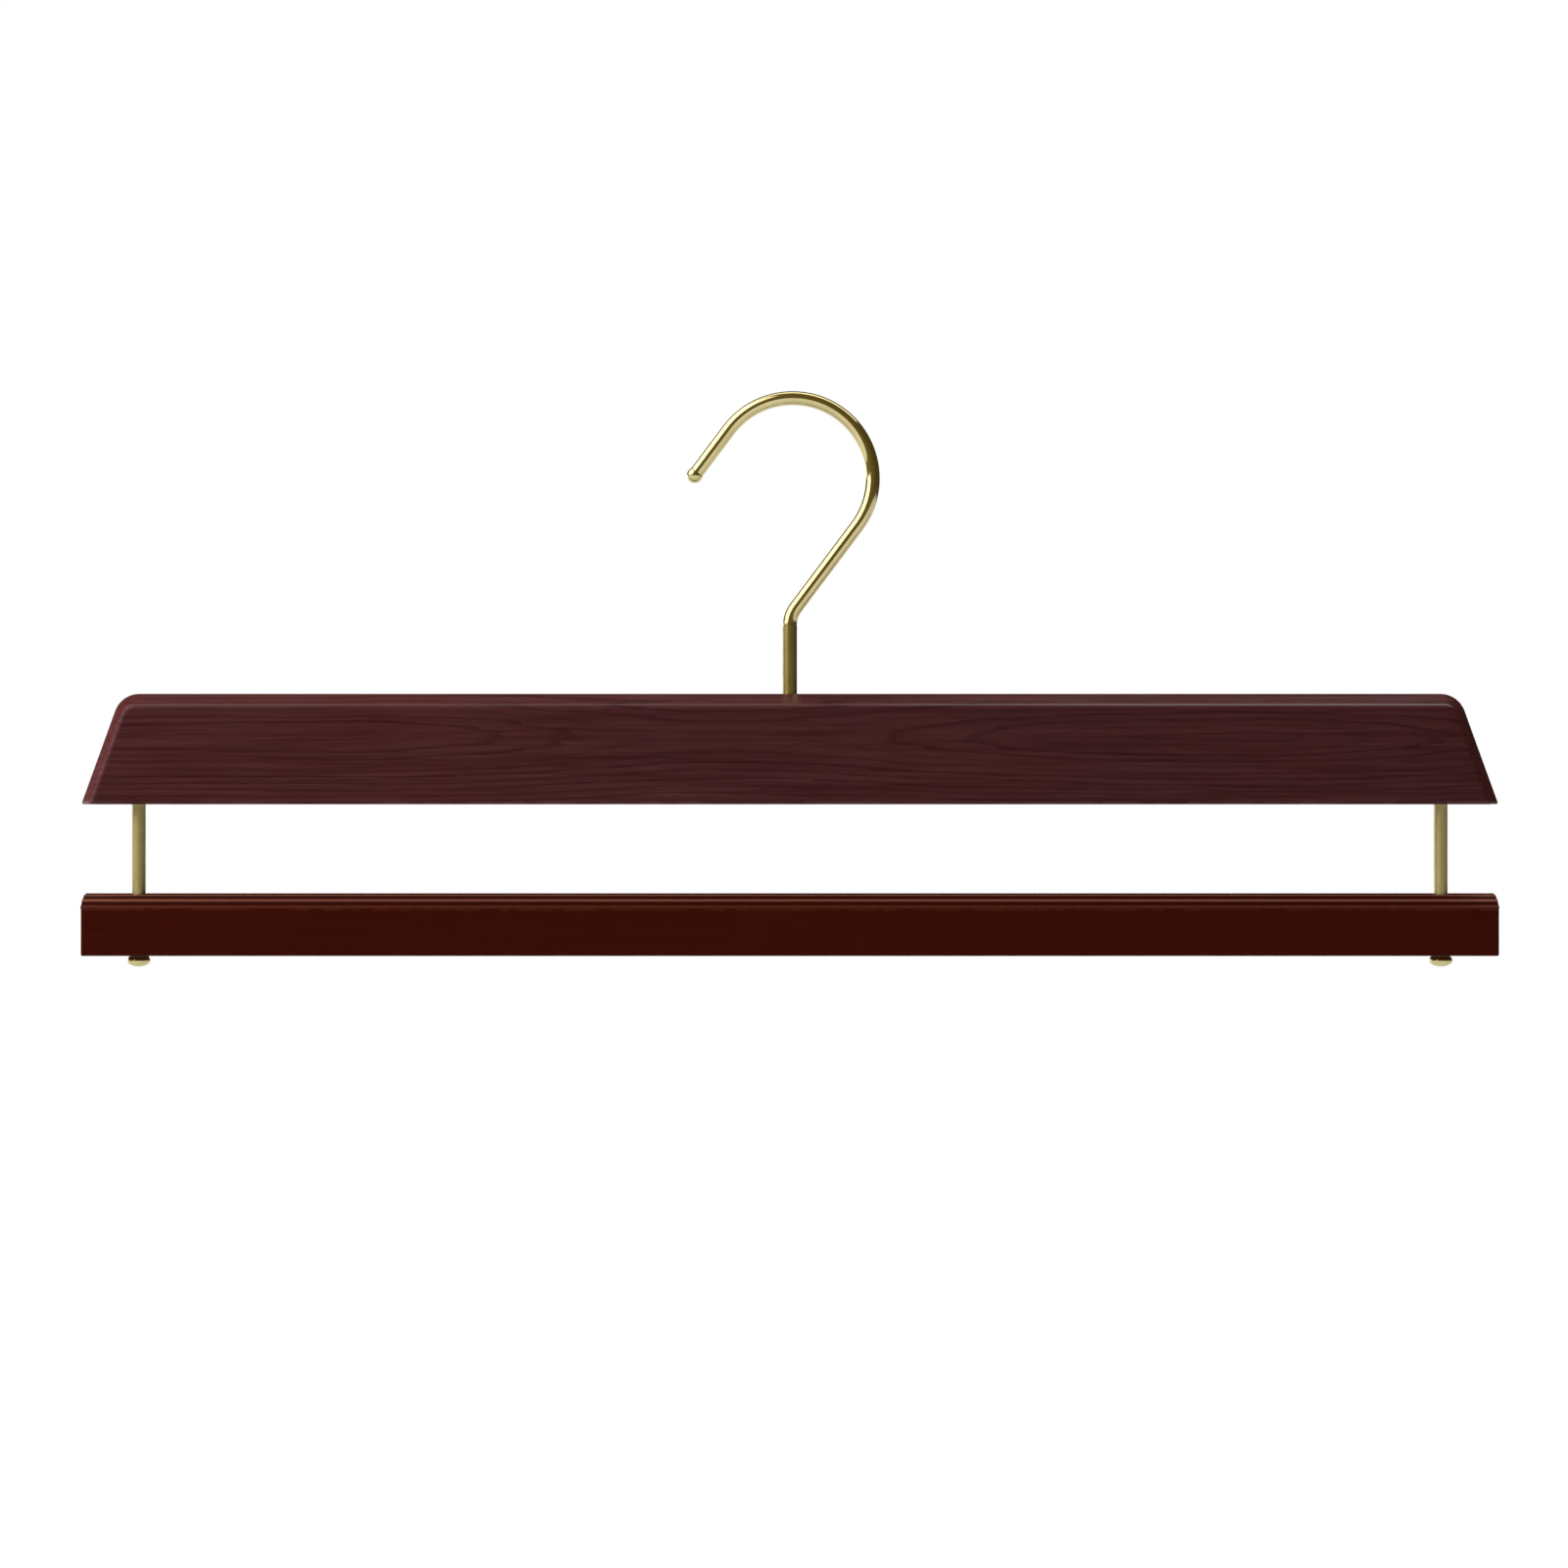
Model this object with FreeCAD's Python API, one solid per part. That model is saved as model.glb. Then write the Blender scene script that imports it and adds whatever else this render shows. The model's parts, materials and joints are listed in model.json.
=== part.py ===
import FreeCAD, Part

# Trouser hanger: a swivel hook on a wooden upper rail, and a ribbed lower rail that slides up and
# down two metal rods and rests on the knobs at their lower ends.
# Millimetres. +X runs along the rails, +Z is up and -Y is the front. The origin is the point inside
# the hook that rests on a wardrobe rail, straight above the axis of the hook's stem.

import math
import os

from FreeCAD import Matrix, Vector

# Hook
wire_diameter = 4.0
hook_bend_radius = 22.8  # centre line of the half turn
hook_centre_offset = 0.8  # centre of the half turn, right of the stem's axis
hook_slant_degrees = 36.87  # both straight legs, from the vertical
hook_tip_length = 16.0  # straight leg that carries the ball
neck_bend_radius = 8.5  # centre line of the bend into the stem
ball_overhang = 0.25  # tip ball beyond the wire, all round
tip_spigot_diameter = 2.0
tip_spigot_length = 1.6
stem_spigot_diameter = 2.4
stem_spigot_length = 8.0

# Stem and swivel
stem_overhang = 0.05  # stem beyond the wire, all round
stem_exposed_length = 19.4
stem_entry_depth = 3.0  # stem's shoulder below the top of the upper rail
pivot_diameter = 3.0
pivot_end_length = 1.0  # pivot below the lock nut
swivel_bush_wall = 1.5
washer_diameter = 7.0
washer_thickness = 0.6
nut_sides = 6
nut_across_flats = 5.5
nut_hex_height = 2.4
nut_collar_diameter = 4.8
nut_collar_height = 1.6
plug_length = 5.0
plug_clearance = 2.0  # free space between the pivot's end and the plug

# Upper rail
rail_length = 400.0  # lower rail; the upper one is longer by its overhang
upper_overhang = 0.9  # at each end
upper_rail_height = 31.3
upper_rail_thickness = 17.0
end_slant_degrees = 20.0  # slanted ends, from the vertical
top_corner_radius = 7.2
flat_width = 5.2  # flat along the middle of the top and the ends
flat_edge_radius = 1.5
edge_slope_height = 3.5  # fall of the top and the ends from the flat to the front and the back
edge_round_radius = 1.8  # front and back edges along the top and the ends
underside_edge_radius = 0.5

# Lower rail with its ribbed grip cap
rail_gap = 25.3  # crest of the grip cap to the underside of the upper rail
lower_rail_height = 17.5
lower_rail_thickness = 14.0
lower_edge_radius = 0.6
end_edge_radius = 0.5
crown_height = 3.95  # crest above the edges of the rounded top
cap_wall = 1.4
cap_skirt = 0.3  # straight sides of the cap below its crown
cap_edge_radius = 0.4
rib_height = 0.45
rib_step_degrees = 19.2
whole_ribs = 5  # the crown's edges carry one narrower rib each

# Rods, their threaded inserts, guide bushes and knobs
rod_diameter = 3.8
rod_inset = 15.0  # rod's axis from the end of the rails
insert_wall = 1.4
insert_length = 12.0
guide_bush_wall = 1.2
knob_diameter = 6.5
knob_land_diameter = 4.7  # flat on the knob's top
knob_rise = 1.5  # from the knob's widest place to its top
knob_drop = 1.8  # from there to its bottom
knob_bottom_wall = 1.0

# Clearances
running_clearance = 0.05  # between a shaft and the bore that guides it
passing_clearance = 0.3  # round a shaft that passes through without touching
glue_line = 0.05  # round a piece that is glued, screwed or pressed in
seat_gap = 0.1  # between faces that bear on each other and move
overrun = 1.0  # cuts past the face that they leave
tolerance = 0.01  # for finding edges by their place

# Limit of a rounded edge beside another
corner_round_share = 0.85

# Heights, from the top down
hook_slant = math.radians(hook_slant_degrees)
wire_radius = wire_diameter / 2
ball_radius = wire_radius + ball_overhang
ball_seat = math.sqrt(ball_radius**2 - wire_radius**2)  # flat of the ball, from its centre
hook_centre_z = wire_radius - hook_bend_radius
leg_direction = Vector(-math.sin(hook_slant), 0, -math.cos(hook_slant))
across_legs = Vector(math.cos(hook_slant), 0, -math.sin(hook_slant))
hook_centre = Vector(hook_centre_offset, 0, hook_centre_z)
turn_start = hook_centre - across_legs * hook_bend_radius
turn_end = hook_centre + across_legs * hook_bend_radius
turn_top = Vector(hook_centre_offset, 0, wire_radius)
neck_corner = turn_end + leg_direction * (turn_end.x / math.sin(hook_slant))
neck_setback = neck_bend_radius * math.tan(hook_slant / 2)
stem_top_z = neck_corner.z - neck_setback
upper_top_z = stem_top_z - stem_exposed_length
upper_bottom_z = upper_top_z - upper_rail_height
lower_top_z = upper_bottom_z - rail_gap
lower_bottom_z = lower_top_z - lower_rail_height
knob_land_z = lower_bottom_z - seat_gap
knob_bottom_z = knob_land_z - knob_rise - knob_drop

# Swivel, from the stem's shoulder down to the plug
stem_radius = wire_radius + stem_overhang
pivot_radius = pivot_diameter / 2
shoulder_z = upper_top_z - stem_entry_depth
bush_top_z = shoulder_z - seat_gap
nut_height = nut_hex_height + nut_collar_height
swivel_play = seat_gap + plug_clearance
well_depth = plug_length + swivel_play + pivot_end_length + nut_height + washer_thickness
well_top_z = upper_bottom_z + well_depth
washer_top_z = well_top_z - seat_gap
nut_top_z = washer_top_z - washer_thickness
pivot_end_z = nut_top_z - nut_height - pivot_end_length
well_radius = washer_diameter / 2 + passing_clearance
swivel_bush_radius = pivot_radius + running_clearance + swivel_bush_wall

# Rounded top of the lower rail
lower_half_thickness = lower_rail_thickness / 2
crown_radius = (lower_half_thickness**2 + crown_height**2) / (2 * crown_height)
crown_centre_z = lower_top_z - crown_radius
crown_edge_z = lower_top_z - crown_height

# Rods and what holds them
rod_x = rail_length / 2 - rod_inset
rod_radius = rod_diameter / 2
insert_radius = rod_radius + glue_line + insert_wall
insert_top_z = upper_bottom_z + insert_length
guide_bush_bore_radius = rod_radius + running_clearance
guide_bush_radius = guide_bush_bore_radius + guide_bush_wall
guide_bush_top_z = crown_edge_z - cap_skirt
rod_bottom_z = knob_bottom_z + knob_bottom_wall


def cylinder(radius, low_z, high_z, x=0):
    return Part.makeCylinder(radius, high_z - low_z, Vector(x, 0, low_z))


def tube(outer_radius, bore_radius, low_z, high_z, x=0):
    bore = cylinder(bore_radius, low_z - overrun, high_z + overrun, x)
    return cylinder(outer_radius, low_z, high_z, x).cut(bore)


def rounded_wire(corners):
    """Closed wire through (corner, radius) pairs; a radius of zero leaves the corner sharp."""
    rounds = []
    for index, (corner, radius) in enumerate(corners):
        before = corners[index - 1][0]
        after = corners[(index + 1) % len(corners)][0]
        to_before = (before - corner).normalize()
        to_after = (after - corner).normalize()
        half_angle = to_before.getAngle(to_after) / 2
        setback = radius / math.tan(half_angle)
        inward = (to_before + to_after).normalize()
        middle = corner + inward * (radius / math.sin(half_angle) - radius)
        rounds.append((corner + to_before * setback, middle, corner + to_after * setback, radius))
    edges = []
    for index, (start, middle, end, radius) in enumerate(rounds):
        if radius > 0:
            edges.append(Part.Arc(start, middle, end).toShape())
        next_start = rounds[(index + 1) % len(rounds)][0]
        edges.append(Part.LineSegment(end, next_start).toShape())
    return Part.Wire(edges)


def make_hook_wire():
    """Wire from the ball's seat over the half turn, down the slanted leg and into the stem."""
    tip_end = turn_start + leg_direction * (hook_tip_length - ball_seat)
    neck_start = neck_corner - leg_direction * neck_setback
    neck_end = Vector(0, 0, stem_top_z)
    neck_chord_middle = (neck_start + neck_end) / 2
    neck_inward = (neck_chord_middle - neck_corner).normalize()
    neck_sagitta = neck_bend_radius / math.cos(hook_slant / 2) - neck_bend_radius
    path = Part.Wire([
        Part.LineSegment(tip_end, turn_start).toShape(),
        Part.Arc(turn_start, turn_top, turn_end).toShape(),
        Part.LineSegment(turn_end, neck_start).toShape(),
        Part.Arc(neck_start, neck_corner + neck_inward * neck_sagitta, neck_end).toShape(),
    ])
    section = Part.Wire(Part.makeCircle(wire_radius, tip_end, leg_direction))
    wire = path.makePipeShell([section], True, True)
    tip_spigot = Part.makeCylinder(tip_spigot_diameter / 2, tip_spigot_length, tip_end, leg_direction)
    stem_spigot = cylinder(stem_spigot_diameter / 2, stem_top_z - stem_spigot_length, stem_top_z)
    return wire.fuse([tip_spigot, stem_spigot]).removeSplitter()


def make_hook_tip_ball():
    centre = turn_start + leg_direction * hook_tip_length
    seat = centre - leg_direction * ball_seat
    above_seat = Part.makeCylinder(ball_radius, ball_radius, seat, leg_direction * -1)
    hole_radius = tip_spigot_diameter / 2 + glue_line
    hole = Part.makeCylinder(hole_radius, tip_spigot_length + glue_line, seat, leg_direction)
    return Part.makeSphere(ball_radius, centre).cut([above_seat, hole])


def make_hook_stem():
    """Stem with a socket for the hook's spigot and a thinner pivot under its shoulder."""
    socket_radius = stem_spigot_diameter / 2 + glue_line
    socket_bottom_z = stem_top_z - stem_spigot_length - glue_line
    stem = cylinder(stem_radius, shoulder_z, stem_top_z)
    pivot = cylinder(pivot_radius, pivot_end_z, shoulder_z)
    socket = cylinder(socket_radius, socket_bottom_z, stem_top_z + overrun)
    return stem.fuse(pivot).cut(socket)


def make_swivel_bush():
    return tube(swivel_bush_radius, pivot_radius + running_clearance, well_top_z, bush_top_z)


def make_thrust_washer():
    return tube(washer_diameter / 2, pivot_radius + glue_line, nut_top_z, washer_top_z)


def make_lock_nut():
    """Hexagon nut with a round locking collar below it."""
    corner_radius = nut_across_flats / 2 / math.cos(math.pi / nut_sides)
    hex_bottom_z = nut_top_z - nut_hex_height
    corners = []
    for index in range(nut_sides):
        angle = 2 * math.pi * index / nut_sides
        corner = Vector(math.cos(angle), math.sin(angle), 0) * corner_radius
        corners.append(corner + Vector(0, 0, hex_bottom_z))
    outline = Part.makePolygon(corners + corners[:1])
    hexagon = Part.Face(outline).extrude(Vector(0, 0, nut_hex_height))
    collar = cylinder(nut_collar_diameter / 2, hex_bottom_z - nut_collar_height, hex_bottom_z)
    bore = cylinder(pivot_radius + glue_line, pivot_end_z, nut_top_z + overrun)
    return hexagon.fuse(collar).cut(bore)


def make_well_plug():
    return cylinder(well_radius - glue_line, upper_bottom_z, upper_bottom_z + plug_length)


def upper_rail_outline(inset, y):
    """Outline of the board at one depth, set inwards; it runs on below the underside."""
    end_slant = math.radians(end_slant_degrees)
    half_length = rail_length / 2 + upper_overhang - inset / math.cos(end_slant)
    low_z = upper_bottom_z - edge_slope_height
    top_z = upper_top_z - inset
    low_x = half_length + edge_slope_height * math.tan(end_slant)
    top_x = half_length - (top_z - upper_bottom_z) * math.tan(end_slant)
    corner_radius = top_corner_radius - inset
    return rounded_wire([
        (Vector(-low_x, y, low_z), 0),
        (Vector(low_x, y, low_z), 0),
        (Vector(top_x, y, top_z), corner_radius),
        (Vector(-top_x, y, top_z), corner_radius),
    ])


def upper_edges_at(board, depth):
    """Edges above the underside that run at one depth, in front of the middle and behind it."""
    found = []
    for edge in board.Edges:
        box = edge.BoundBox
        at_depth = abs(abs(box.YMin) - depth) < tolerance
        if box.YLength < tolerance and at_depth and box.ZMax > upper_bottom_z:
            found.append(edge)
    return found


def make_upper_rail():
    """Board with slanted ends; from a flat in the middle, top and ends slope to the rounded edges."""
    half_thickness = upper_rail_thickness / 2
    half_flat = flat_width / 2
    outlines = [
        upper_rail_outline(edge_slope_height, -half_thickness),
        upper_rail_outline(0, -half_flat),
        upper_rail_outline(0, half_flat),
        upper_rail_outline(edge_slope_height, half_thickness),
    ]
    board = Part.makeLoft(outlines, True, True)
    board = board.makeFillet(flat_edge_radius, upper_edges_at(board, half_flat))
    board = board.makeFillet(edge_round_radius, upper_edges_at(board, half_thickness))
    corner = Vector(-rail_length, -rail_length, upper_bottom_z - rail_length)
    board = board.cut(Part.makeBox(rail_length * 2, rail_length * 2, rail_length, corner))
    underside_edges = [edge for edge in board.Edges if edge.BoundBox.ZMax < upper_bottom_z + tolerance]
    board = board.makeFillet(underside_edge_radius, underside_edges)
    stem_hole = cylinder(stem_radius + passing_clearance, bush_top_z, upper_top_z + overrun)
    bush_hole = cylinder(swivel_bush_radius + glue_line, well_top_z, bush_top_z)
    well = cylinder(well_radius, upper_bottom_z - overrun, well_top_z)
    cuts = [stem_hole, bush_hole, well]
    for side in (-1, 1):
        hole_top_z = insert_top_z + glue_line
        cuts.append(cylinder(insert_radius + glue_line, upper_bottom_z - overrun, hole_top_z, side * rod_x))
    return board.cut(cuts)


def crown_face(inset, foot_z):
    """Section of the rounded top down to its foot, kept inside the outer one by the inset."""
    half_width = lower_half_thickness - inset
    corners = [
        Vector(0, -half_width, foot_z),
        Vector(0, half_width, foot_z),
        Vector(0, half_width, lower_top_z),
        Vector(0, -half_width, lower_top_z),
    ]
    block = Part.Face(Part.makePolygon(corners + corners[:1]))
    circle = Part.makeCircle(crown_radius - inset, Vector(0, 0, crown_centre_z), Vector(1, 0, 0))
    return block.common(Part.Face(Part.Wire(circle))).Faces[0]


def extrude_along_rail(face):
    face.translate(Vector(-rail_length / 2, 0, 0))
    return face.extrude(Vector(rail_length, 0, 0))


def rod_holes(radius, low_z, high_z):
    return [cylinder(radius, low_z, high_z, side * rod_x) for side in (-1, 1)]


def make_lower_rail():
    """Straight bar with a rounded tongue along its top, which the grip cap covers."""
    shoulder = guide_bush_top_z
    section = rounded_wire([
        (Vector(0, -lower_half_thickness, shoulder), 0),
        (Vector(0, -lower_half_thickness, lower_bottom_z), lower_edge_radius),
        (Vector(0, lower_half_thickness, lower_bottom_z), lower_edge_radius),
        (Vector(0, lower_half_thickness, shoulder), 0),
    ])
    bar = extrude_along_rail(Part.Face(section))
    end_edges = []
    for edge in bar.Edges:
        box = edge.BoundBox
        if box.XLength < tolerance and box.ZMin < shoulder - tolerance:
            end_edges.append(edge)
    bar = bar.makeFillet(min(end_edge_radius, lower_edge_radius * corner_round_share), end_edges)
    tongue = extrude_along_rail(crown_face(cap_wall + glue_line, shoulder - overrun))
    bush_holes = rod_holes(guide_bush_radius + glue_line, lower_bottom_z - overrun, guide_bush_top_z)
    passages = rod_holes(rod_radius + passing_clearance, guide_bush_top_z, lower_top_z)
    return bar.fuse(tongue).cut(bush_holes + passages)


def crown_point(angle, depth):
    """Point at a depth under the crown's circle, by its angle from the crest."""
    reach = crown_radius - depth
    return Vector(0, reach * math.sin(angle), crown_centre_z + reach * math.cos(angle))


def make_grip_cap():
    """Cap with rounded ribs along it, which fits over the lower rail's tongue."""
    foot_z = guide_bush_top_z + glue_line
    rib_step = math.radians(rib_step_degrees)
    edge_angle = math.asin(lower_half_thickness / crown_radius)
    valley_angles = [(index - whole_ribs / 2) * rib_step for index in range(whole_ribs + 1)]
    angles = [-edge_angle] + valley_angles + [edge_angle]
    valleys = [crown_point(angle, rib_height) for angle in valley_angles]
    points = [crown_point(-edge_angle, 0)] + valleys + [crown_point(edge_angle, 0)]
    outline = []
    for index in range(whole_ribs + 2):
        crest = crown_point((angles[index] + angles[index + 1]) / 2, 0)
        outline.append(Part.Arc(points[index], crest, points[index + 1]).toShape())
    left_foot = Vector(0, -lower_half_thickness, foot_z)
    right_foot = Vector(0, lower_half_thickness, foot_z)
    corners = [points[-1], right_foot, left_foot, points[0]]
    outline += [Part.LineSegment(*ends).toShape() for ends in zip(corners, corners[1:])]
    section = Part.Face(Part.Wire(outline)).cut(crown_face(cap_wall, foot_z - overrun))
    cap = extrude_along_rail(section.Faces[0])
    crown_edges = []
    for edge in cap.Edges:
        box = edge.BoundBox
        at_side = abs(abs(box.YMin) - lower_half_thickness) < tolerance
        if box.XLength > tolerance and at_side and abs(box.ZMin - crown_edge_z) < tolerance:
            crown_edges.append(edge)
    cap = cap.makeFillet(cap_edge_radius, crown_edges)
    return cap.cut(rod_holes(rod_radius + passing_clearance, foot_z, lower_top_z + overrun))


def make_guide_rod(x):
    return cylinder(rod_radius, rod_bottom_z, insert_top_z, x)


def make_rod_insert(x):
    return tube(insert_radius, rod_radius + glue_line, upper_bottom_z, insert_top_z, x)


def make_guide_bush(x):
    return tube(guide_bush_radius, guide_bush_bore_radius, lower_bottom_z, guide_bush_top_z, x)


def make_rod_knob(x):
    """Flattened ball, widest above its middle, with a flat on top and a socket for the rod."""
    radius = knob_diameter / 2
    land_share = knob_land_diameter / knob_diameter
    upper_half_height = knob_rise / math.sqrt(1 - land_share**2)
    halves = []
    for half_height, low_degrees, high_degrees in ((upper_half_height, 0, 90), (knob_drop, -90, 0)):
        half = Part.makeSphere(1, Vector(), Vector(0, 0, 1), low_degrees, high_degrees, 360)
        stretch = Matrix()
        stretch.scale(radius, radius, half_height)
        halves.append(half.transformGeometry(stretch))
    ball = halves[0].fuse(halves[1]).removeSplitter()
    ball.translate(Vector(x, 0, knob_land_z - knob_rise))
    above_land = cylinder(radius, knob_land_z, knob_land_z + upper_half_height, x)
    socket = cylinder(rod_radius + glue_line, rod_bottom_z - glue_line, knob_land_z + overrun, x)
    return ball.cut([above_land, socket])


nodes = {
    "hook_wire": make_hook_wire(),
    "hook_tip_ball": make_hook_tip_ball(),
    "hook_stem": make_hook_stem(),
    "swivel_bush": make_swivel_bush(),
    "thrust_washer": make_thrust_washer(),
    "lock_nut": make_lock_nut(),
    "well_plug": make_well_plug(),
    "upper_rail": make_upper_rail(),
    "lower_rail": make_lower_rail(),
    "grip_cap": make_grip_cap(),
}
for side_name, x in (("left", -rod_x), ("right", rod_x)):
    nodes[side_name + "_guide_rod"] = make_guide_rod(x)
    nodes[side_name + "_rod_insert"] = make_rod_insert(x)
    nodes[side_name + "_guide_bush"] = make_guide_bush(x)
    nodes[side_name + "_rod_knob"] = make_rod_knob(x)

os.makedirs("parts", exist_ok=True)
for name, shape in nodes.items():
    print(name, "valid" if shape.isValid() else "BROKEN", len(shape.Solids), round(shape.Volume, 2))
    shape.exportStep("parts/" + name + ".step")
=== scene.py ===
"""Finishes of the trouser hanger, its studio light and the photo's camera."""
import json
import math

import bpy
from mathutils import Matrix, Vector


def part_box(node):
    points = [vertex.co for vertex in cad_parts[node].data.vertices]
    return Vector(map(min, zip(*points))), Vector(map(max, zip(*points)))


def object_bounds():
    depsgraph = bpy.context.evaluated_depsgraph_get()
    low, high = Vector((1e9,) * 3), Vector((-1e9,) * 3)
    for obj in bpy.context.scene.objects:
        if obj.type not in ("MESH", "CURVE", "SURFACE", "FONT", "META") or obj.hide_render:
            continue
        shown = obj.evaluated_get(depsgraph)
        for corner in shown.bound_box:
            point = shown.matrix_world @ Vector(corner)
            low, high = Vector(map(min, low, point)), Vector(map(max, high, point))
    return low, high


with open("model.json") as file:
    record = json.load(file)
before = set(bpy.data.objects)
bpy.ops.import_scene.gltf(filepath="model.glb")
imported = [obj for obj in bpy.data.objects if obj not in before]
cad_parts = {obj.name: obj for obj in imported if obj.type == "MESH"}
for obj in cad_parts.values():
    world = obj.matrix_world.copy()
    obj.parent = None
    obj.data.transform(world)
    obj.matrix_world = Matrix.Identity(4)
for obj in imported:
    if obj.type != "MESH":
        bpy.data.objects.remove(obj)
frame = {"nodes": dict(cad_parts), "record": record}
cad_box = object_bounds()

# Where the lower rail lies in the photo, in pixels of its 1600 x 1600 frame
photo_side_px = 1600
rail_left_px = 82
rail_right_px = 1530
rail_underside_px = 975.7

# Camera, in millimetres
lens = 68
sensor_width = 36

# Softboxes, in metres: place from the hanger's middle, facing, width, height, and level, where 1 is white
softboxes = {
    "left softbox": (Vector((-0.73, -0.30, 0.615)), Vector((-0.73, -0.30, 0.615)), 1.30, 1.16, 1.9),
    "overhead softbox": (Vector((-0.25, 0.10, 1.08)), Vector((0.0, -0.02, 1.08)), 0.70, 0.44, 3.0),
    "right overhead softbox": (Vector((0.55, 0.05, 1.08)), Vector((0.0, -0.02, 1.08)), 0.90, 0.54, 7.2),
    "end softbox": (Vector((-1.2, -0.05, 0.22)), Vector((-1.2, 0.0, 0.22)), 0.50, 0.50, 31.0),
}
unmirrored_softboxes = {"end softbox"}
dimmed_softboxes = {"overhead softbox", "right overhead softbox"}
dimmed_level = 1.3

# Fill from the world on matt surfaces: it swells towards one direction, and towards the back
fill_direction = Vector((-0.7, -0.6, 0.35)).normalized()
fill_level = 0.75
fill_swing = 0.72
fill_least = 0.08
back_fill_level = 0.9

# What gloss mirrors of the world; starts and fulls say how far a mirrored direction points along X, Y or
# Z, or towards the wall
# A dim room, which is dimmer to the right and at the back
room_colour = (0.128, 0.100, 0.032)
room_right_start = -0.2
room_right_full = 0.9
room_right_share = 0.55
room_back_start = 0.4
room_back_full = 0.75
room_back_share = 0.3
# A pale floor, which is dimmer straight below and to the right
horizon = -0.11
horizon_softness = 0.03
floor_glow_level = 0.78
floor_glow_start = -0.2
floor_glow_below = 0.62
straight_down = -1.0
floor_right_start = 0.2
floor_right_full = 0.95
floor_right_share = 0.82
# A white backdrop, and left of it a bright wall, which is full up to its low and gone above its high
backdrop_start = 0.88
backdrop_full = 0.94
side_wall_direction = Vector((-0.6, 0.8, 0.0)).normalized()
side_wall_level = 1.8
side_wall_start = 0.80
side_wall_full = 0.95
side_wall_low = 0.06
side_wall_high = 0.13

# Floor below the hanger, in metres
floor_drop = 0.36
floor_radius = 0.7
floor_fade_start = 0.45
floor_colour = (0.82, 0.82, 0.81)
floor_dark_share = 0.97
floor_tone_scale = 6.0

# Ribbed crown of the lower rail, in metres
crown_height = 0.00395
rib_height = 0.00045
# Depths below its surface as shares of a rib: where the painted shade of the grooves is full, and down to
# where the ridges take the painted highlight
groove_share = 0.6
ridge_share = 0.2
# Depths below its top as shares of its height: where the painted highlight on the ridges is least, and from
# where up it is full, as the upper ribs face the light from above
least_highlight_drop = 0.9
full_highlight_drop = 0.45
least_highlight = 0.1

# Wood, in metres: how the boards were cut from the log, and how their rings run; near the heart's height
# the rings are paler
heart_height = -0.0943
heart_depth = 0.0052
heart_swing = 0.0038
heart_wave = 0.27
heart_far_place = -0.015
heart_pale_height = 0.004
heart_pale_share = 0.55
ring_spacing = 0.0017
ring_sway = 0.0036
ring_raggedness = 0.0020
lower_heart_height = -0.150
lower_ring_spacing = 0.0026
# Shares of a year at which its dark wood starts, is full and begins to end, and the palest year's share
late_start = 0.60
late_full = 0.93
late_end = 0.95
palest_year = 0.3
# Noise in the wood, in waves per metre along and across a board
sway_scales = (9, 40, 40)
coarse_scales = (18, 680, 680)
fine_scales = (45, 2400, 2400)
pore_scales = (150, 2600, 2600)
patch_scales = (14, 45, 45)
fine_share = 0.45
# Where the painted shade of the upper rail becomes full towards the right, and the softening of its edges,
# in metres
right_shade_full_place = 0.10
edge_softness = 0.0010


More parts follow.
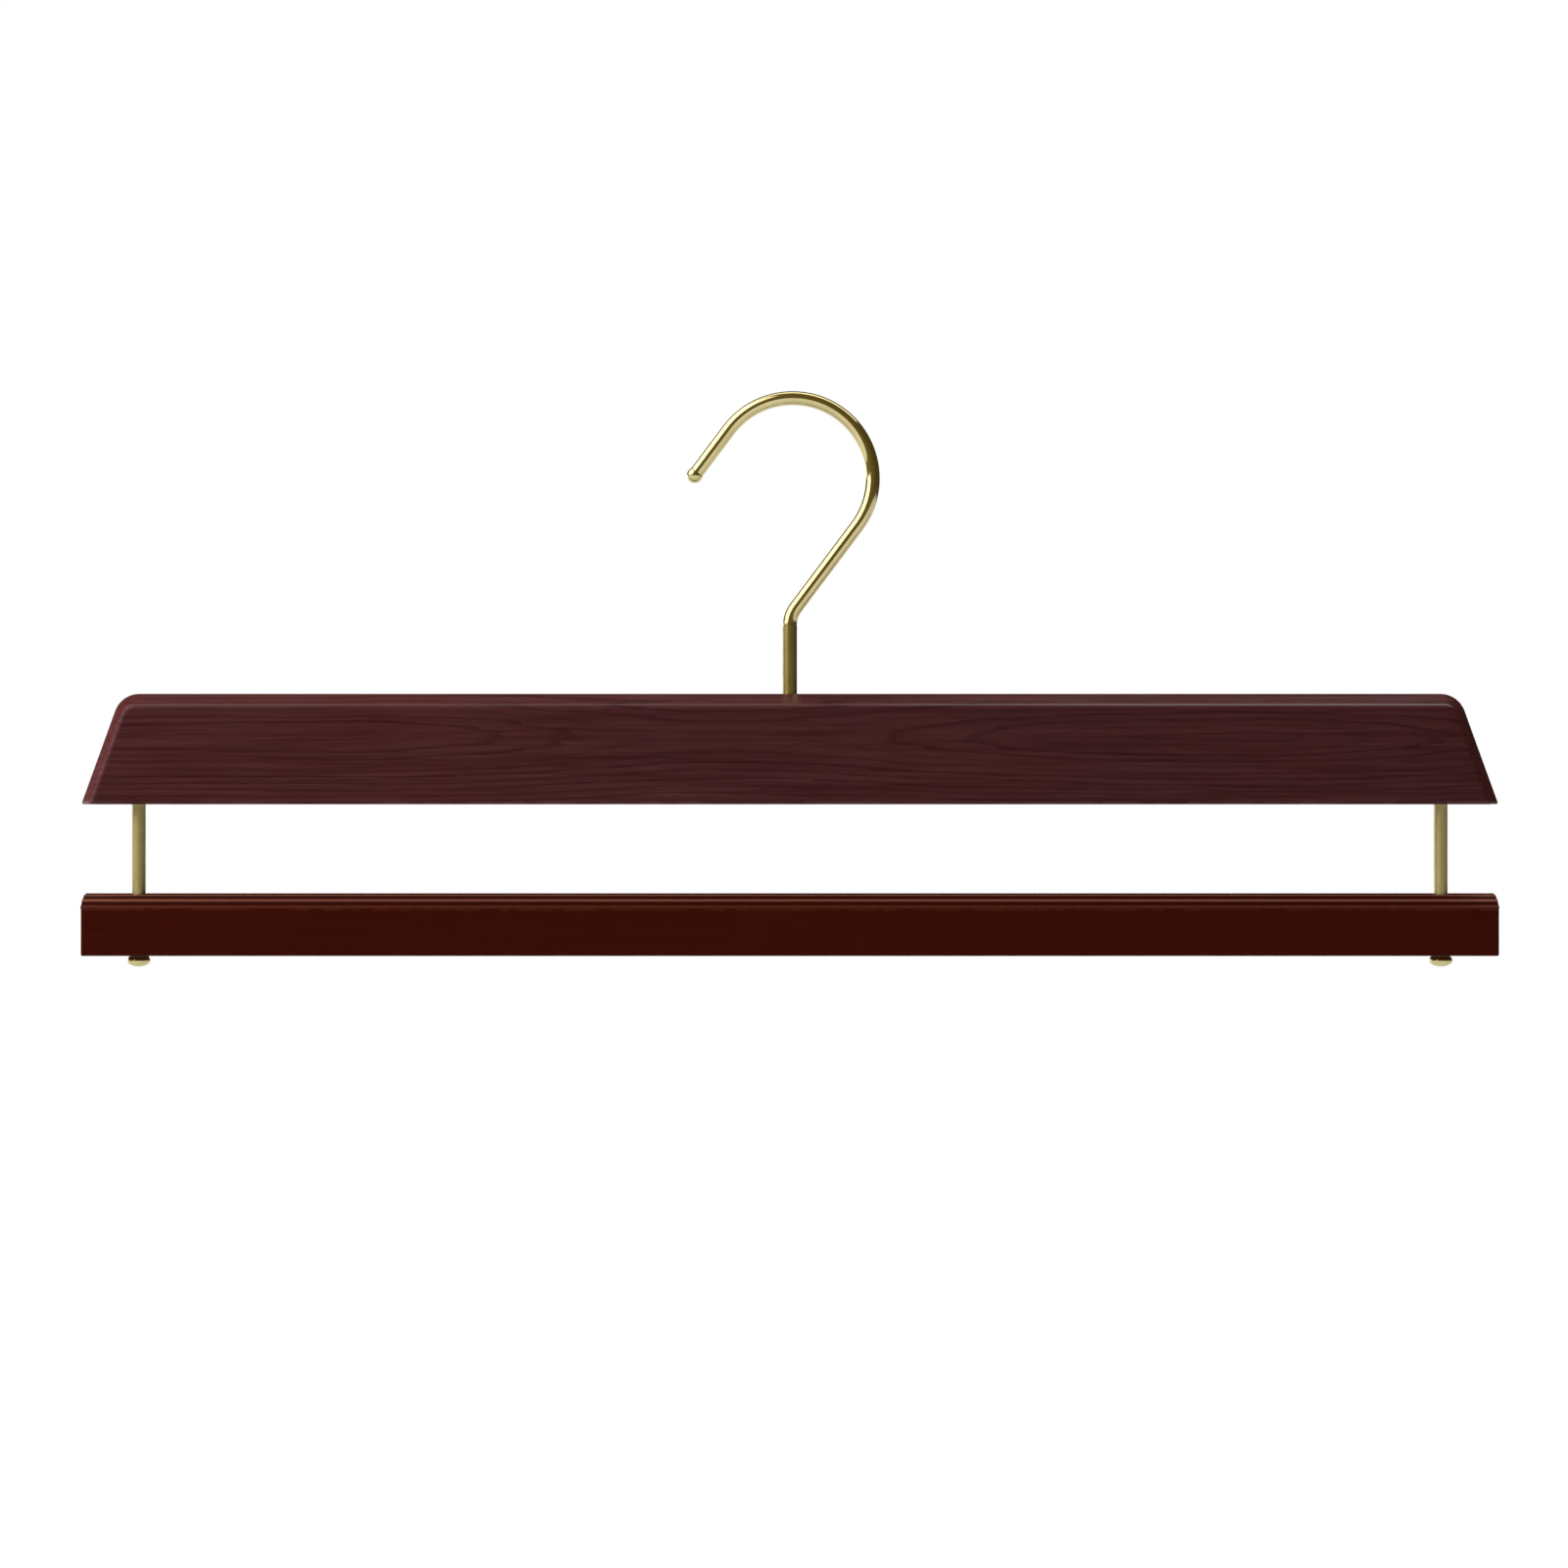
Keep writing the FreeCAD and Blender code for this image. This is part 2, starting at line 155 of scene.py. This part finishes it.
class Nodes:
    """Short words for building one node tree."""

    def __init__(self, tree):
        self.tree = tree

    def add(self, kind, values=None, **settings):
        """Adds a node, sets its options, and sets or links its inputs by name or number."""
        made = self.tree.nodes.new("ShaderNode" + kind)
        for name, value in settings.items():
            setattr(made, name, value)
        for name, value in (values or {}).items():
            self.feed(value, made.inputs[name])
        return made

    def use(self, group, **values):
        """Places a shared effect; an underscore in a name stands for a space."""
        made = self.tree.nodes.new("ShaderNodeGroup")
        made.node_tree = group
        for name, value in values.items():
            self.feed(value, made.inputs[name.replace("_", " ").title()])
        return made.outputs

    def feed(self, value, socket):
        """Links another node's output to an input, or sets the input to a plain value."""
        if isinstance(value, bpy.types.NodeSocket):
            self.tree.links.new(value, socket)
        else:
            socket.default_value = value

    def math(self, operation, *values):
        return self.add("Math", dict(enumerate(values)), operation=operation).outputs[0]

    def product(self, first, *others):
        for other in others:
            first = self.math("MULTIPLY", first, other)
        return first

    def greatest(self, first, *others):
        for other in others:
            first = self.math("MAXIMUM", first, other)
        return first

    def total(self, base, *parts):
        """A base with masks added to it, each times its weight; parts are (mask, weight)."""
        for mask, weight in parts:
            base = self.math("MULTIPLY_ADD", mask, weight, base)
        return base

    def scaled(self, vector, scales):
        return self.add("VectorMath", {0: vector, 1: scales}, operation="MULTIPLY").outputs[0]

    def dot(self, vector, direction):
        return self.add("VectorMath", {0: vector, 1: direction}, operation="DOT_PRODUCT").outputs["Value"]

    def apart(self, vector):
        return self.add("SeparateXYZ", {0: vector}).outputs

    def place(self):
        return self.add("TexCoord").outputs["Object"]

    def noise(self, vector, scale=1.0, detail=2.0, roughness=0.5):
        values = {"Vector": vector, "Scale": scale, "Detail": detail, "Roughness": roughness}
        return self.add("TexNoise", values).outputs["Fac"]

    def ramp(self, value, low, high, to_low=0.0, to_high=1.0, smooth=True):
        values = {"Value": value, "From Min": low, "From Max": high, "To Min": to_low, "To Max": to_high}
        kind = "SMOOTHSTEP" if smooth else "LINEAR"
        return self.add("MapRange", values, interpolation_type=kind, clamp=True).outputs[0]

    def mix(self, share, first, second, blend="MIX"):
        """A colour between two others; in this node the colours are inputs 6 and 7, and output 2."""
        made = self.add("Mix", {0: share, 6: first, 7: second}, data_type="RGBA", blend_type=blend)
        return made.outputs[2]

    def tint(self, colour, mask, other, strength):
        """A colour that turns into another one where a mask is, by a strength."""
        return self.mix(self.math("MULTIPLY", mask, strength), colour, other)

    def grey(self, level):
        return self.add("CombineColor", {0: level, 1: level, 2: level}).outputs[0]

    def bump(self, height, distance, under=None):
        values = {"Height": height, "Distance": distance}
        if under is not None:
            values["Normal"] = under
        return self.add("Bump", values).outputs["Normal"]


def new_effect(name, inputs, outputs):
    """An empty shared effect; inputs are (name, kind, value), outputs are names of plain numbers."""
    tree = bpy.data.node_groups.new(name, "ShaderNodeTree")
    for socket_name, kind, value in inputs:
        socket = tree.interface.new_socket(socket_name, in_out="INPUT", socket_type="NodeSocket" + kind)
        socket.default_value = value
    for socket_name in outputs:
        tree.interface.new_socket(socket_name, in_out="OUTPUT", socket_type="NodeSocketFloat")
    entry = tree.nodes.new("NodeGroupInput")
    leave = tree.nodes.new("NodeGroupOutput")
    return Nodes(tree), entry.outputs, leave.inputs


def make_board_grain():
    """Solid grain of a flat-sawn board: rings round a heart that swings to and from the board's face."""
    inputs = [
        ("Heart Height", "Float", heart_height),
        ("Ring Spacing", "Float", ring_spacing),
        ("Half Thickness", "Float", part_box("upper_rail")[1].y),
    ]
    n, entry, leave = new_effect("Board grain", inputs, ["Rings", "Fibre", "Pores", "Patches"])
    place = n.place()
    apart = n.apart(place)
    turn = n.math("MULTIPLY", n.math("SUBTRACT", apart["X"], heart_far_place), 2 * math.pi / heart_wave)
    depth = n.total(heart_depth, (n.math("COSINE", turn), heart_swing))
    depth = n.math("SUBTRACT", n.math("SUBTRACT", depth, entry["Half Thickness"]), apart["Y"])
    rise = n.math("SUBTRACT", apart["Z"], entry["Heart Height"])
    squares = n.math("ADD", n.product(depth, depth), n.product(rise, rise))
    sway = n.noise(n.scaled(place, sway_scales), detail=3)
    coarse = n.noise(n.scaled(place, coarse_scales), detail=4, roughness=0.6)
    ragged = n.total(-(ring_sway + ring_raggedness) / 2, (sway, ring_sway), (coarse, ring_raggedness))
    radius = n.math("ADD", n.math("SQRT", squares), ragged)
    ring = n.math("DIVIDE", radius, entry["Ring Spacing"])
    year = n.math("FLOOR", ring)
    season = n.math("FRACT", ring)
    year_level = n.add("TexWhiteNoise", {"W": year}, noise_dimensions="1D").outputs["Value"]
    rings = n.product(
        n.ramp(season, late_start, late_full),
        n.ramp(season, 1.0, late_end),
        n.ramp(n.math("ABSOLUTE", rise), 0.0, heart_pale_height, heart_pale_share, 1.0),
        n.total(palest_year, (year_level, 1.0 - palest_year)),
    )
    n.feed(rings, leave["Rings"])
    fine = n.noise(n.scaled(place, fine_scales), detail=2)
    fibre = n.total(0.0, (coarse, 1.0 - fine_share), (fine, fine_share))
    n.feed(n.ramp(fibre, low=0.32, high=0.68, smooth=False), leave["Fibre"])
    pores = n.noise(n.scaled(place, pore_scales), detail=1)
    n.feed(n.ramp(pores, low=0.66, high=0.74), leave["Pores"])
    patches = n.noise(n.scaled(place, patch_scales), detail=2)
    n.feed(n.ramp(patches, low=0.35, high=0.7), leave["Patches"])
    return n.tree


def make_edge_wear_and_highlight():
    """A mask along edges, for wear that hands rub and for a painted highlight there: where the rounded
    normal leaves the true one.
    """
    inputs = [("Width", "Float", 0.0006), ("Breaks", "Float", 300.0)]
    n, entry, leave = new_effect("Edge wear and highlight", inputs, ["Mask"])
    rounded = n.add("Bevel", {"Radius": entry["Width"]}, samples=4).outputs[0]
    true = n.add("NewGeometry").outputs["Normal"]
    edge = n.ramp(n.dot(rounded, true), low=0.995, high=0.9)
    breaks = n.noise(n.place(), entry["Breaks"], detail=3)
    n.feed(n.product(edge, n.ramp(breaks, low=0.35, high=0.65)), leave["Mask"])
    return n.tree


def make_tool_marks():
    """Fine parallel marks of a die, a lathe or a polishing wheel, drawn out by unequal scales."""
    inputs = [("Scales", "Vector", (100.0, 100.0, 100.0))]
    n, entry, leave = new_effect("Tool marks", inputs, ["Height", "Deep"])
    marks = n.noise(n.scaled(n.place(), entry["Scales"]), detail=3, roughness=0.65)
    n.feed(marks, leave["Height"])
    n.feed(n.ramp(marks, low=0.6, high=0.72), leave["Deep"])
    return n.tree


def make_handling():
    """Broad, faint marks of hands, where a surface is a little duller, and fine specks."""
    inputs = [("Scale", "Float", 90.0)]
    n, entry, leave = new_effect("Handling", inputs, ["Dull", "Specks"])
    place = n.place()
    broad = n.noise(place, entry["Scale"], detail=4, roughness=0.6)
    n.feed(n.ramp(broad, low=0.35, high=0.7), leave["Dull"])
    specks = n.noise(place, scale=1800, detail=1)
    n.feed(n.ramp(specks, low=0.68, high=0.78), leave["Specks"])
    return n.tree


board_grain = make_board_grain()
edge_wear_and_highlight = make_edge_wear_and_highlight()
tool_marks = make_tool_marks()
handling = make_handling()


def new_finish(name):
    """A material with an empty Principled shader, and the words to build it with."""
    material = bpy.data.materials.new(name)
    material.use_nodes = True
    material.node_tree.nodes.clear()
    n = Nodes(material.node_tree)
    shader = n.add("BsdfPrincipled")
    n.add("OutputMaterial", {"Surface": shader.outputs[0]})
    return material, n, shader


def dress(n, shader, colour, roughness, normal, **plain):
    """Links what changes over the surface, and sets plain numbers on the shader's own sockets."""
    n.feed(colour, shader.inputs["Base Color"])
    n.feed(roughness, shader.inputs["Roughness"])
    n.feed(normal, shader.inputs["Normal"])
    for name, value in plain.items():
        shader.inputs[name.replace("_", " ").title().replace("Ior", "IOR")].default_value = value


def stained_wood():
    dark_fibre = (0.0262, 0.0018, 0.0027, 1)
    pale_fibre = (0.0530, 0.0122, 0.0135, 1)
    red_patch = (0.050, 0.0090, 0.0084, 1)
    late_wood = (0.0205, 0.0010, 0.0016, 1)
    painted_right_shade = (0.80, 0.80, 0.82, 1)
    dark_pore = (0.020, 0.0050, 0.0052, 1)
    worn_edge_with_highlight = (0.125, 0.062, 0.060, 1)
    material, n, shader = new_finish("stained wood")
    grain = n.use(board_grain)
    dull = n.use(handling, scale=40.0)["Dull"]
    edge = n.use(edge_wear_and_highlight, width=0.0013, breaks=180.0)["Mask"]
    colour = n.mix(grain["Fibre"], dark_fibre, pale_fibre)
    colour = n.tint(colour, grain["Patches"], red_patch, strength=0.35)
    colour = n.tint(colour, grain["Rings"], late_wood, strength=0.85)
    # Painted shade: the wood darkens from the left end to the right, where the light from the left falls
    # off
    shade_to_right = n.ramp(n.apart(n.place())["X"], cad_box[0].x, right_shade_full_place, smooth=False)
    colour = n.mix(shade_to_right, colour, painted_right_shade, "MULTIPLY")
    colour = n.tint(colour, grain["Pores"], dark_pore, strength=0.5)
    # Lighter along the edges: partly wear, partly a painted highlight on the rounded arris
    colour = n.tint(colour, edge, worn_edge_with_highlight, strength=0.45)
    roughness = n.total(0.29, (dull, 0.05), (grain["Pores"], 0.15))
    height = n.total(0.0, (grain["Fibre"], 0.35), (grain["Pores"], -0.8))
    softened = n.add("Bevel", {"Radius": edge_softness}, samples=8).outputs[0]
    normal = n.bump(height, distance=0.000004, under=softened)
    dress(n, shader, colour, roughness, normal, specular_ior_level=0.17)
    return material


def dark_lacquer():
    dark_fibre = (0.0224, 0.0021, 0.0007, 1)
    pale_fibre = (0.0260, 0.0028, 0.0010, 1)
    late_wood = (0.019, 0.0017, 0.0005, 1)
    worn_edge_with_highlight = (0.10, 0.026, 0.014, 1)
    material, n, shader = new_finish("dark lacquer")
    grain = n.use(
        board_grain,
        heart_height=lower_heart_height,
        ring_spacing=lower_ring_spacing,
        half_thickness=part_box("lower_rail")[1].y,
    )
    marks = n.use(handling, scale=60.0)
    edge = n.use(edge_wear_and_highlight, width=0.0008, breaks=240.0)["Mask"]
    colour = n.mix(grain["Fibre"], dark_fibre, pale_fibre)
    colour = n.tint(colour, grain["Rings"], late_wood, strength=0.2)
    # Lighter along the edges: partly wear, partly a painted highlight where the edges catch light
    colour = n.tint(colour, edge, worn_edge_with_highlight, strength=0.5)
    roughness = n.total(0.24, (marks["Dull"], 0.06))
    height = n.total(0.0, (grain["Fibre"], 0.2), (marks["Specks"], 0.3))
    normal = n.bump(height, distance=0.00001)
    dress(n, shader, colour, roughness, normal, specular_ior_level=0.02)
    return material


def ribbed_vinyl():
    smooth_vinyl = (0.031, 0.0030, 0.0005, 1)
    drawn_vinyl = (0.038, 0.0042, 0.0010, 1)
    pale_speck = (0.060, 0.014, 0.008, 1)
    painted_groove_shade = (0.022, 0.0018, 0.0004, 1)
    painted_ridge_highlight = (0.115, 0.040, 0.026, 1)
    material, n, shader = new_finish("ribbed vinyl")
    marks = n.use(handling, scale=70.0)
    drawn = n.use(tool_marks, scales=(20.0, 3200.0, 3200.0))
    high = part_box("grip_cap")[1]
    crown_radius = (high.y**2 + crown_height**2) / (2 * crown_height)
    apart = n.apart(n.place())
    rise = n.math("ADD", apart["Z"], crown_radius - high.z)
    reach = n.math("SQRT", n.math("ADD", n.product(apart["Y"], apart["Y"]), n.product(rise, rise)))
    crest = n.ramp(reach, crown_radius - groove_share * rib_height, crown_radius)
    ridge = n.ramp(reach, crown_radius - ridge_share * rib_height, crown_radius)
    least_highlight_height = high.z - least_highlight_drop * crown_height
    full_highlight_height = high.z - full_highlight_drop * crown_height
    ridge_highlight = n.product(ridge, n.ramp(apart["Z"], least_highlight_height, full_highlight_height, to_low=least_highlight))
    colour = n.mix(drawn["Height"], smooth_vinyl, drawn_vinyl)
    colour = n.tint(colour, marks["Specks"], pale_speck, strength=0.25)
    # Painted shade in the grooves between the ribs
    colour = n.mix(crest, painted_groove_shade, colour)
    # Painted highlight along the rib ridges, strongest on the upper ribs that face the light from above
    colour = n.mix(ridge_highlight, colour, painted_ridge_highlight)
    roughness = n.total(0.3, (marks["Dull"], 0.08))
    height = n.total(0.0, (drawn["Height"], 0.3), (marks["Specks"], 0.4))
    normal = n.bump(height, distance=0.00001)
    dress(n, shader, colour, roughness, normal, specular_ior_level=0.04)
    return material


def polished_brass():
    clean = (0.88, 0.77, 0.40, 1)
    handled = (0.80, 0.69, 0.34, 1)
    material, n, shader = new_finish("polished brass")
    marks = n.use(handling, scale=120.0)
    buffed = n.use(tool_marks, scales=(900.0, 5000.0, 900.0))
    colour = n.mix(marks["Dull"], clean, handled)
    roughness = n.total(0.10, (marks["Dull"], 0.06), (buffed["Deep"], 0.05))
    normal = n.bump(buffed["Height"], distance=0.000004)
    dress(n, shader, colour, roughness, normal, metallic=1.0)
    return material


def drawn_brass(name, clean, handled, scratched, least_roughness):
    """Brass with marks of the die along a rod and of polishing round it."""
    material, n, shader = new_finish(name)
    marks = n.use(handling, scale=150.0)
    drawn = n.use(tool_marks, scales=(2600.0, 2600.0, 90.0))
    turned = n.use(tool_marks, scales=(40.0, 40.0, 4200.0))
    colour = n.mix(marks["Dull"], clean, handled)
    colour = n.tint(colour, drawn["Deep"], scratched, strength=0.35)
    roughness = n.total(least_roughness, (marks["Dull"], 0.1))
    height = n.total(0.0, (drawn["Height"], 0.5), (turned["Height"], 0.7))
    normal = n.bump(height, distance=0.00002)
    dress(n, shader, colour, roughness, normal, metallic=1.0)
    return material


def satin_brass():
    return drawn_brass(
        "satin brass",
        clean=(0.70, 0.60, 0.28, 1),
        handled=(0.62, 0.52, 0.23, 1),
        scratched=(0.45, 0.36, 0.15, 1),
        least_roughness=0.42,
    )


def aged_brass():
    return drawn_brass(
        "aged brass",
        clean=(0.52, 0.41, 0.145, 1),
        handled=(0.44, 0.35, 0.116, 1),
        scratched=(0.28, 0.21, 0.065, 1),
        least_roughness=0.28,
    )


def turned_brass():
    low_mark = (0.60, 0.44, 0.17, 1)
    high_mark = (0.72, 0.56, 0.26, 1)
    handled = (0.45, 0.31, 0.11, 1)
    material, n, shader = new_finish("turned brass")
    marks = n.use(handling, scale=180.0)
    turned = n.use(tool_marks, scales=(30.0, 30.0, 5200.0))
    colour = n.mix(turned["Height"], low_mark, high_mark)
    colour = n.tint(colour, marks["Dull"], handled, strength=0.3)
    roughness = n.total(0.26, (turned["Deep"], 0.12))
    normal = n.bump(turned["Height"], distance=0.00003)
    dress(n, shader, colour, roughness, normal, metallic=1.0)
    return material


def plated_steel():
    low_mark = (0.52, 0.53, 0.52, 1)
    high_mark = (0.66, 0.66, 0.63, 1)
    handled = (0.58, 0.56, 0.47, 1)
    material, n, shader = new_finish("plated steel")
    marks = n.use(handling, scale=260.0)
    pressed = n.use(tool_marks, scales=(1400.0, 1400.0, 1400.0))
    colour = n.mix(pressed["Height"], low_mark, high_mark)
    colour = n.tint(colour, marks["Dull"], handled, strength=0.3)
    roughness = n.total(0.28, (marks["Dull"], 0.15))
    normal = n.bump(pressed["Height"], distance=0.00002)
    dress(n, shader, colour, roughness, normal, metallic=1.0)
    return material


def nylon():
    clean = (0.020, 0.013, 0.011, 1)
    handled = (0.030, 0.021, 0.018, 1)
    material, n, shader = new_finish("nylon")
    marks = n.use(handling, scale=220.0)
    turned = n.use(tool_marks, scales=(60.0, 60.0, 2800.0))
    colour = n.mix(marks["Dull"], clean, handled)
    roughness = n.total(0.45, (marks["Dull"], 0.1))
    normal = n.bump(turned["Height"], distance=0.00002)
    dress(n, shader, colour, roughness, normal, specular_ior_level=0.4)
    return material


finish_makers = {
    "stained_wood": stained_wood,
    "dark_lacquer": dark_lacquer,
    "ribbed_vinyl": ribbed_vinyl,
    "polished_brass": polished_brass,
    "satin_brass": satin_brass,
    "aged_brass": aged_brass,
    "turned_brass": turned_brass,
    "plated_steel": plated_steel,
    "nylon": nylon,
}


def finish_nodes():
    """Gives every CAD piece the finish of its record's slot."""
    finishes = {slot: make() for slot, make in finish_makers.items()}
    for piece in frame["record"]["subparts"]:
        node = frame["nodes"][piece["node"]]
        for place in node.material_slots:
            place.material = finishes[piece["material_slot"]]


def light_world():
    """White for the camera; for reflections white behind and at the left, a pale floor and a dim room."""
    black = (0, 0, 0, 1)
    white = (1, 1, 1, 1)
    world = bpy.data.worlds.new("studio")
    world.use_nodes = True
    world.node_tree.nodes.clear()
    world.cycles.sampling_method = "NONE"
    bpy.context.scene.world = world
    n = Nodes(world.node_tree)
    towards = n.add("TexCoord").outputs["Generated"]
    apart = n.apart(towards)
    behind = n.ramp(apart["Y"], backdrop_start, backdrop_full)
    aside = n.dot(towards, side_wall_direction)
    beside = n.product(
        n.ramp(aside, side_wall_start, side_wall_full, to_high=side_wall_level),
        n.ramp(n.math("ABSOLUTE", apart["Z"]), side_wall_high, side_wall_low),
    )
    below = n.product(
        n.ramp(apart["Z"], horizon + horizon_softness, horizon - horizon_softness),
        n.ramp(apart["Z"], straight_down, floor_glow_start, floor_glow_below, floor_glow_level),
        n.ramp(apart["X"], floor_right_start, floor_right_full, 1.0, floor_right_share),
    )
    room_share = n.product(
        n.ramp(apart["X"], room_right_start, room_right_full, 1.0, room_right_share),
        n.ramp(apart["Y"], room_back_start, room_back_full, 1.0, room_back_share),
    )
    room = n.mix(room_share, black, (*room_colour, 1))
    in_gloss = n.mix(1.0, room, n.grey(n.greatest(behind, beside, below)), "LIGHTEN")
    front_fill = n.total(fill_level, (n.dot(towards, fill_direction), fill_swing))
    back_fill = n.product(apart["Y"], back_fill_level)
    fill = n.grey(n.greatest(front_fill, back_fill, fill_least))
    ray = n.add("LightPath").outputs
    colour = n.mix(ray["Is Glossy Ray"], fill, in_gloss)
    plain = n.greatest(ray["Is Camera Ray"], ray["Is Transmission Ray"])
    colour = n.mix(plain, colour, white)
    background = n.add("Background", {"Color": colour, "Strength": 1.0})
    n.add("OutputWorld", {"Surface": background.outputs[0]})


def add_softbox(name, place, facing, width, height, level):
    """A light that shines against its facing direction and looks as bright as its level."""
    middle = (cad_box[0] + cad_box[1]) / 2
    light = bpy.data.lights.new(name, "AREA")
    light.shape = "RECTANGLE"
    light.size = width
    light.size_y = height
    light.energy = level * math.pi * width * height
    lamp = bpy.data.objects.new(name, light)
    bpy.context.scene.collection.objects.link(lamp)
    lamp.location = middle + place
    lamp.rotation_euler = facing.to_track_quat("Z", "Y").to_euler()
    lamp.visible_camera = False
    lamp.visible_glossy = name not in unmirrored_softboxes
    return lamp


def link_light(lamp, pieces, state):
    """Lets a light reach only these pieces, or everything but these."""
    linked = bpy.data.collections.new(lamp.name)
    for piece in pieces:
        linked.objects.link(piece)
    for member in linked.collection_objects:
        member.light_linking.link_state = state
    lamp.light_linking.receiver_collection = linked


def light_studio():
    """Puts up the softboxes; polished pieces mirror the overhead ones dimmed, so their lines stay crisp."""
    polished = []
    for piece in frame["record"]["subparts"]:
        if piece["material_slot"] == "polished_brass":
            polished.append(frame["nodes"][piece["node"]])
    for name, (*stand, level) in softboxes.items():
        lamp = add_softbox(name, *stand, level)
        if name in dimmed_softboxes:
            link_light(lamp, polished, "EXCLUDE")
            link_light(add_softbox("dimmed " + name, *stand, dimmed_level), polished, "INCLUDE")


def lay_floor():
    """A round pale floor below the hanger that fades out before the photo's view reaches it."""
    bpy.ops.mesh.primitive_circle_add(
        vertices=96, radius=floor_radius, fill_type="NGON", location=(0, 0, cad_box[0].z - floor_drop)
    )
    floor = bpy.context.object
    floor.name = "floor"
    material = bpy.data.materials.new("pale floor")
    material.use_nodes = True
    material.node_tree.nodes.clear()
    n = Nodes(material.node_tree)
    place = n.place()
    reach = n.add("VectorMath", {0: place}, operation="LENGTH").outputs["Value"]
    fade = n.ramp(reach, floor_fade_start, floor_radius)
    fade = n.greatest(fade, n.add("LightPath").outputs["Is Glossy Ray"])
    tone = n.noise(place, floor_tone_scale, detail=3)
    darker = tuple(part * floor_dark_share for part in floor_colour)
    colour = n.mix(tone, (*floor_colour, 1), (*darker, 1))
    matt = n.add("BsdfDiffuse", {"Color": colour}).outputs[0]
    clear = n.add("BsdfTransparent").outputs[0]
    mixed = n.add("MixShader", {0: fade, 1: matt, 2: clear}).outputs[0]
    n.add("OutputMaterial", {"Surface": mixed})
    floor.data.materials.append(material)


def place_camera():
    """Level, square to the front, so far off that the lower rail has its length in the photo."""
    low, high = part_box("lower_rail")
    metres_per_px = (high.x - low.x) / (rail_right_px - rail_left_px)
    middle_px = photo_side_px / 2
    camera = bpy.data.cameras.new("photo camera")
    camera.lens = lens
    camera.sensor_width = sensor_width
    seen = bpy.data.objects.new("photo camera", camera)
    bpy.context.scene.collection.objects.link(seen)
    across = low.x + (middle_px - rail_left_px) * metres_per_px
    up = low.z + (rail_underside_px - middle_px) * metres_per_px
    away = metres_per_px * photo_side_px * lens / sensor_width
    seen.location = (across, low.y - away, up)
    seen.rotation_euler = (math.pi / 2, 0, 0)
    bpy.context.scene.camera = seen


bpy.context.scene.view_settings.view_transform = "Standard"
finish_nodes()
light_world()
light_studio()
lay_floor()
place_camera()
